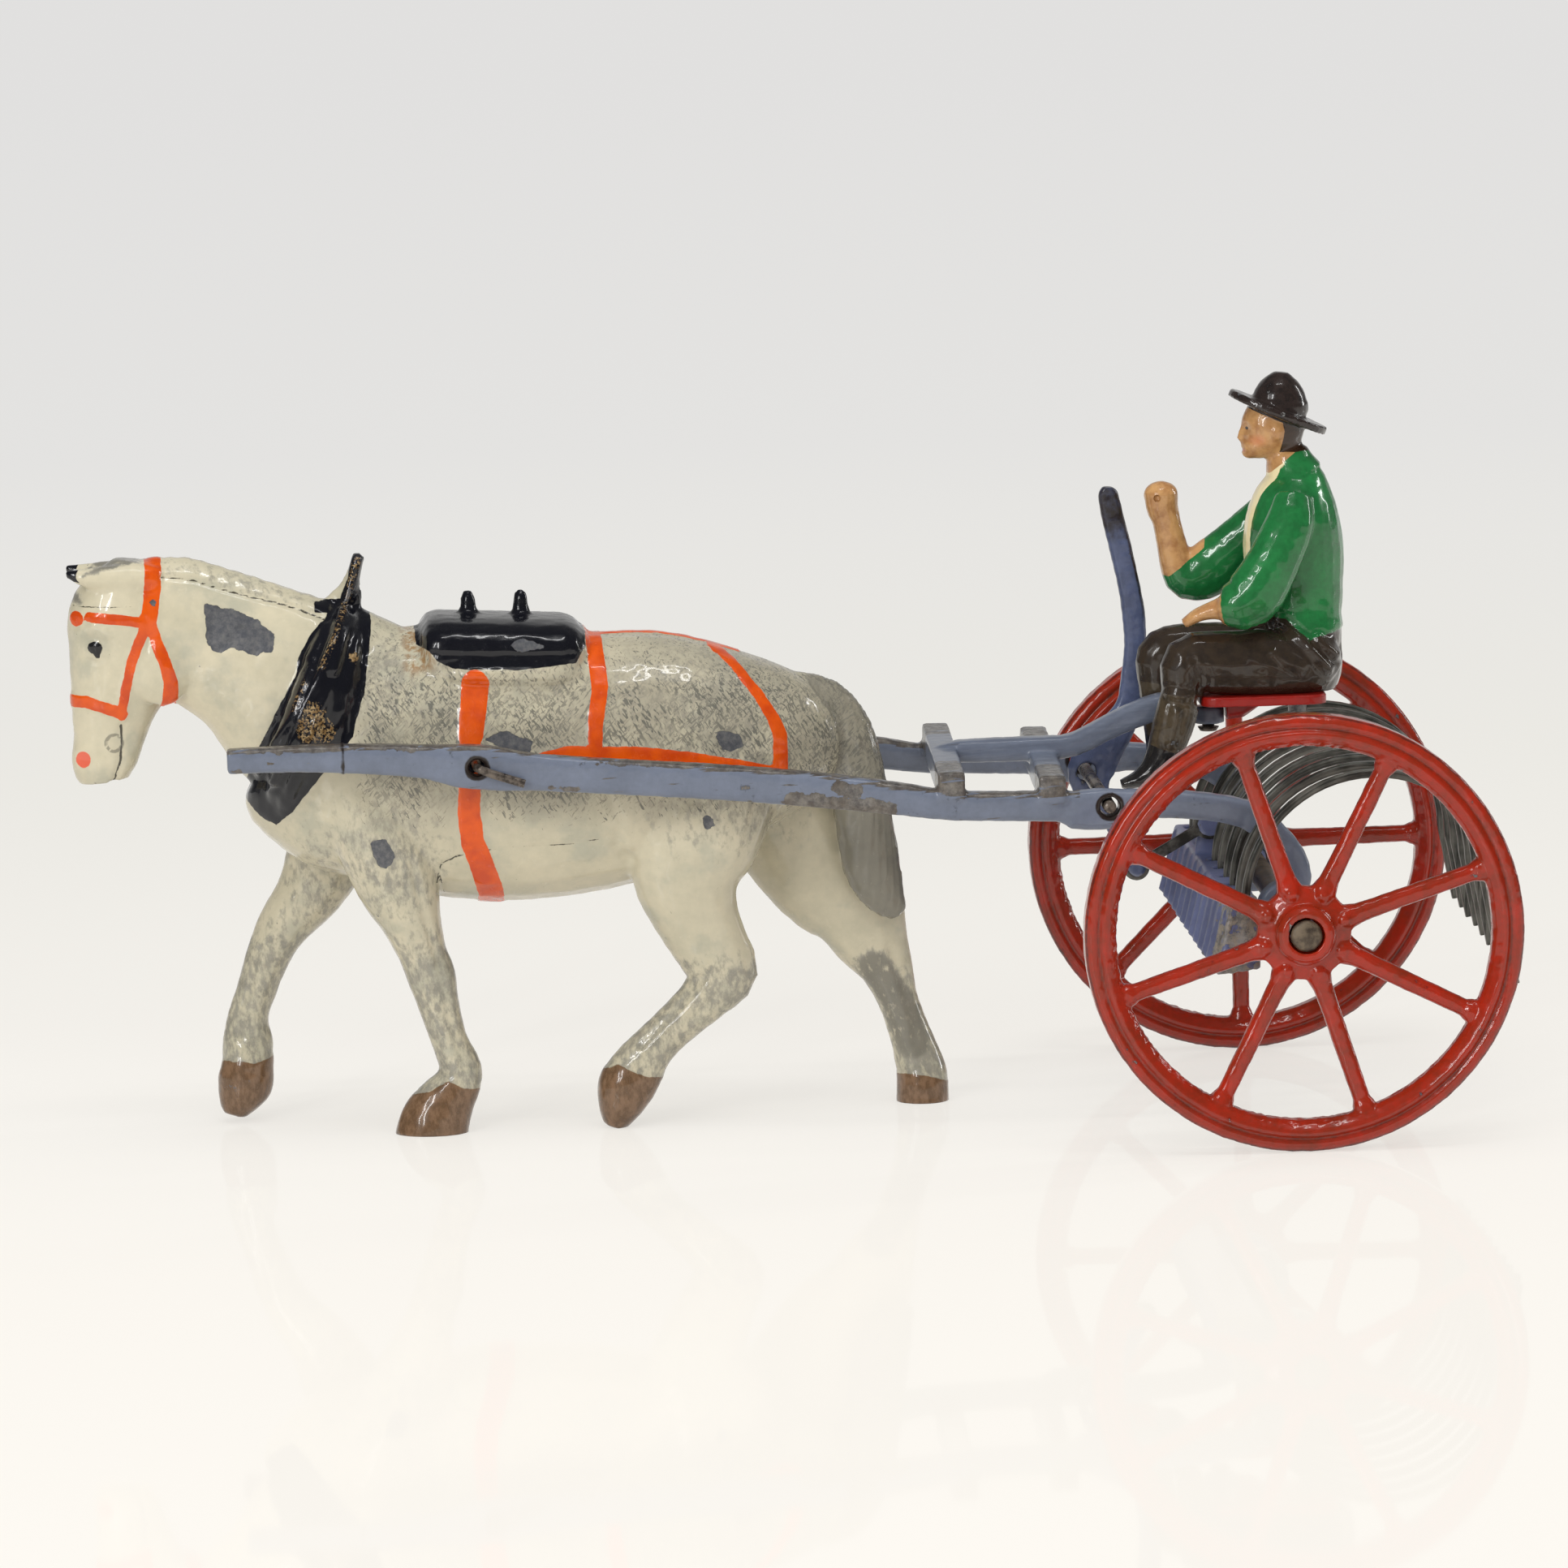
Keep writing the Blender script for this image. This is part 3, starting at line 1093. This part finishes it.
def add_collar(bm):
    """Leaning oval collar with a hame along each side, the two meeting in a spike on top."""
    unit = HORSE_HEIGHT / DRAWN_HORSE_HEIGHT
    across = HORSE_WIDTH / DRAWN_HORSE_WIDTH
    centre = horse_point(*COLLAR_CENTRE)
    lean = math.radians(COLLAR_LEAN)
    up = Vector((math.sin(lean), 0.0, math.cos(lean)))
    front = up.cross(Y_AXIS)
    steps = 20
    rings = []
    for step in range(steps):
        angle = 2.0 * math.pi * step / steps
        out = up * math.cos(angle) * COLLAR_HALF_HEIGHT * unit + Y_AXIS * math.sin(angle) * COLLAR_HALF_WIDTH * across
        middle = centre + out
        outward = out.normalized()
        thick = (1.5 + 0.4 * math.sin(angle) ** 2) * unit
        broad = (1.8 + 1.5 * math.sin(angle) ** 2) * unit
        ring = []
        for turn in range(8):
            a = 2.0 * math.pi * turn / 8
            ring.append(bm.verts.new(middle + outward * math.cos(a) * thick + front * math.sin(a) * broad))
        rings.append(ring)
    for index, ring in enumerate(rings):
        following = rings[(index + 1) % steps]
        for turn in range(8):
            after = (turn + 1) % 8
            bm.faces.new((ring[turn], ring[after], following[after], following[turn]))
    tip = horse_point(*HAMES_TIP)
    root = centre + up * COLLAR_HALF_HEIGHT * unit * 0.8
    stations = [
        (root, 2.3 * unit, 1.8 * unit),
        (root.lerp(tip, 0.45), 1.5 * unit, 1.2 * unit),
        (root.lerp(tip, 0.75), 0.8 * unit, 0.8 * unit),
        (tip, 0.6 * unit, 0.6 * unit),
    ]
    add_loft(bm, stations, sides=8)


def make_horse():
    """The horse casting with its collar, saddle and tail, drilled across for the wire pin."""
    bm = bmesh.new()
    add_loft(bm, horse_stations(TRUNK), sides=20, power=2.2)
    for rows in (NECK, HEAD):
        add_loft(bm, horse_stations(rows), sides=16)
    for rows in (NEAR_FORELEG, FAR_FORELEG, NEAR_HINDLEG, FAR_HINDLEG, TAIL):
        add_loft(bm, horse_stations(rows), sides=12)
    add_loft(bm, horse_stations(SADDLE), sides=16, power=2.6)
    add_collar(bm)
    unit = HORSE_HEIGHT / DRAWN_HORSE_HEIGHT
    for side in (-1.0, 1.0):
        base = horse_point(EAR_BASE[0], side * EAR_BASE[1], EAR_BASE[2])
        tip = horse_point(EAR_TIP[0], side * EAR_TIP[1], EAR_TIP[2])
        add_cylinder(bm, base, tip, 1.7 * unit, 10, 0.45 * unit)
    for x in SADDLE_LOOPS:
        foot = horse_point(x, 0.0, 48.5)
        add_cylinder(bm, foot, horse_point(x, 0.0, 52.1), 0.85 * unit, 10)
    horse = fuse("horse", bm, "horse", HORSE_VOXEL, HORSE_SHARE_KEPT)
    under = box_cutter("ground", Vector((PIN_X, 0.0, -0.004)), (0.15, 0.04, 0.008))
    boolean(horse, under, "DIFFERENCE")
    centre = Vector((PIN_X, 0.0, PIN_Z))
    past = Y_AXIS * HORSE_WIDTH
    bore = cylinder_cutter("horse_bore", centre - past, centre + past, PIN_HOLE_RADIUS, 12)
    boolean(horse, bore, "DIFFERENCE")


# Driver


def driver_point(x, y, z):
    """A drawn point in millimetres from the middle of the seat's top."""
    unit = DRIVER_HEIGHT / DRAWN_DRIVER_HEIGHT
    return Vector((SEAT_X + x * unit, y * unit, AXLE_Z + SEAT_TOP_RISE + GAP + z * unit))


def driver_stations(rows):
    unit = DRIVER_HEIGHT / DRAWN_DRIVER_HEIGHT
    return [(driver_point(x, y, z), depth * unit, width * unit) for x, y, z, depth, width in rows]


BODY = [
    (4.8, 0, 1.0, 3.3, 4.9),
    (4.7, 0, 3.4, 3.9, 5.1),
    (4.3, 0, 8.0, 4.3, 4.7),
    (3.8, 0, 12.3, 4.8, 5.0),
    (3.8, 0, 15.5, 4.6, 5.5),
    (4.0, 0, 18.2, 3.7, 5.1),
    (3.7, 0, 20.4, 2.3, 2.9),
    (2.9, 0, 22.0, 1.8, 1.7),
    (2.3, 0, 24.0, 1.7, 1.6),
]
NEAR_ARM = [
    (3.2, -4.4, 18.9, 1.8, 1.6),
    (2.7, -5.6, 16.4, 2.4, 2.0),
    (1.1, -6.2, 13.0, 2.5, 2.2),
    (-0.4, -6.4, 10.6, 2.7, 2.2),
    (-1.4, -6.3, 8.9, 2.7, 2.2),
    (-2.9, -6.1, 8.5, 1.9, 1.8),
    (-4.4, -5.8, 8.0, 1.2, 1.3),
    (-6.0, -5.4, 7.2, 1.0, 1.3),
    (-7.4, -5.0, 6.4, 0.6, 1.1),
]
FAR_ARM = [
    (4.0, 4.6, 18.4, 2.1, 1.8),
    (1.4, 5.6, 15.8, 2.2, 2.0),
    (-1.6, 6.1, 13.0, 2.5, 2.0),
    (-4.4, 6.3, 10.9, 2.6, 2.0),
    (-6.1, 6.4, 10.3, 2.3, 2.0),
    (-6.9, 6.4, 11.7, 1.9, 1.8),
    (-7.1, 6.4, 13.0, 1.4, 1.4),
    (-7.8, 6.4, 15.5, 1.3, 1.3),
    (-8.3, 6.4, 16.9, 1.5, 1.5),
    (-8.6, 6.4, 18.2, 1.4, 1.5),
    (-8.7, 6.4, 19.1, 0.8, 0.9),
]
NEAR_LEG = [
    (5.6, -3.2, 3.4, 3.3, 2.9),
    (1.0, -3.9, 3.3, 3.2, 2.6),
    (-4.6, -4.3, 3.4, 2.9, 2.4),
    (-7.3, -4.5, 2.9, 2.7, 2.3),
    (-7.9, -4.5, 0.2, 2.1, 2.1),
    (-8.8, -4.6, -3.0, 2.05, 2.0),
    (-9.9, -4.6, -6.0, 1.7, 1.7),
    (-11.2, -4.6, -7.7, 1.3, 1.4),
    (-12.8, -4.6, -8.4, 0.75, 1.2),
    (-14.0, -4.6, -8.7, 0.45, 0.9),
]
FAR_LEG = [
    (5.6, 3.2, 3.4, 3.3, 2.9),
    (0.0, 3.5, 3.3, 3.0, 2.3),
    (-7.2, 3.8, 3.2, 2.7, 2.1),
    (-9.2, 3.8, 2.5, 2.4, 2.0),
    (-9.3, 3.8, 0.0, 2.1, 1.9),
    (-9.1, 3.8, -3.5, 1.9, 1.8),
    (-9.0, 3.8, -6.6, 1.7, 1.6),
    (-9.6, 3.8, -8.1, 1.4, 1.4),
    (-10.8, 3.8, -8.7, 0.7, 1.0),
]
HEAD_CENTRE = (1.4, 0.0, 25.3)
HEAD_RADII = (2.9, 2.4, 3.3)
HAT_CENTRE = (2.3, 0.0, 26.7)
HAT_TILT = 23.5
BRIM_RADII = (5.2, 4.1, 0.45)
CROWN = [
    (2.4, 0, 26.4, 2.75, 2.5),
    (2.5, 0, 28.2, 2.65, 2.4),
    (2.6, 0, 29.6, 1.9, 1.8),
    (2.7, 0, 30.6, 0.7, 0.7),
]


def make_driver():
    """The seated figure: body, limbs, a plain head and a brimmed hat, with a peg for the seat."""
    unit = DRIVER_HEIGHT / DRAWN_DRIVER_HEIGHT
    bm = bmesh.new()
    add_loft(bm, driver_stations(BODY), sides=16)
    for rows in (NEAR_ARM, FAR_ARM, NEAR_LEG, FAR_LEG):
        add_loft(bm, driver_stations(rows), sides=10)
    add_ball(bm, driver_point(*HEAD_CENTRE), [r * unit for r in HEAD_RADII])
    x, y, z = HEAD_CENTRE
    add_cylinder(bm, driver_point(x - 2.0, y, z + 0.6), driver_point(x - 3.3, y, z - 0.6), 0.35 * unit, 8, 0.55 * unit)
    tilt = Matrix.Rotation(math.radians(HAT_TILT), 4, "Y")
    add_ball(bm, driver_point(*HAT_CENTRE), [r * unit for r in BRIM_RADII], turn=tilt, segments=20)
    add_loft(bm, driver_stations(CROWN), sides=14)
    driver = fuse("driver", bm, "driver", DRIVER_VOXEL, DRIVER_SHARE_KEPT)
    top = AXLE_Z + SEAT_TOP_RISE
    clear = SEAT_THICKNESS + 2.0 * GAP
    seat_space = box_cutter(
        "seat_space",
        Vector((SEAT_X + 0.001, 0.0, top + GAP - clear / 2.0)),
        (SEAT_LENGTH + 2.0 * GAP + 0.002, SEAT_WIDTH + 2.0 * GAP, clear),
    )
    boolean(driver, seat_space, "DIFFERENCE")
    bm = bmesh.new()
    foot = Vector((DRIVER_PEG_X, 0.0, top + GAP + 0.002))
    add_cylinder(bm, foot, foot - Z_AXIS * (DRIVER_PEG_LENGTH + 0.002), DRIVER_PEG_RADIUS, 12)
    boolean(driver, place("driver_peg", mesh_from(bm), None, helper=True), "UNION")


def hang(hinge_name, location, names, base):
    """Parents moving pieces to an empty on their joint's axis, leaving them where they are."""
    hinge = bpy.data.objects.new(hinge_name, None)
    bpy.context.scene.collection.objects.link(hinge)
    hinge.parent = base
    hinge.location = location
    for name in names:
        piece = bpy.data.objects[name]
        piece.parent = hinge
        piece.location -= hinge.location


def gather():
    """Hangs every part on one empty that puts the ground point under the model's middle at the origin."""
    bpy.context.view_layer.update()
    graph = bpy.context.evaluated_depsgraph_get()
    lows = []
    highs = []
    for obj in PARTS.objects:
        solid = obj.evaluated_get(graph)
        mesh = solid.to_mesh()
        points = [obj.matrix_world @ v.co for v in mesh.vertices]
        lows.append([min(p[i] for p in points) for i in range(3)])
        highs.append([max(p[i] for p in points) for i in range(3)])
        solid.to_mesh_clear()
    middle = [(min(low[i] for low in lows) + max(high[i] for high in highs)) / 2.0 for i in range(3)]
    base = bpy.data.objects.new("ground_point", None)
    bpy.context.scene.collection.objects.link(base)
    base.location = (-middle[0], -middle[1], -min(low[2] for low in lows))
    for obj in list(PARTS.objects) + list(CUTTERS.objects):
        obj.parent = base
    print("ground point moved by", [round(value / MM, 4) for value in base.location], "mm")
    tines = [f"tine_{index + 1:02d}" for index in range(TINES)]
    hang("horse_hinge", (PIN_X, 0.0, PIN_Z), ["horse"], base)
    hang("lever_hinge", (ROD_X, 0.0, AXLE_Z + ROD_RISE), ["lever"], base)
    hang("link_hinge", lever_stud(), ["link"], base)
    hang("rake_hinge", (0.0, 0.0, AXLE_Z), ["rake_head", *tines], base)
    for name, place_in_frame in (("rod", (ROD_X, AXLE_Z + ROD_RISE)), ("pin", (PIN_X, PIN_Z))):
        print(name, [round(value / MM, 4) for value in place_in_frame])


make_wheels()
make_axle()
make_frame()
make_horse_pin()
make_seat()
make_seat_rivet()
make_lever()
make_lever_rod()
make_link()
make_tines()
make_rake_head()
make_horse()
make_driver()
gather()
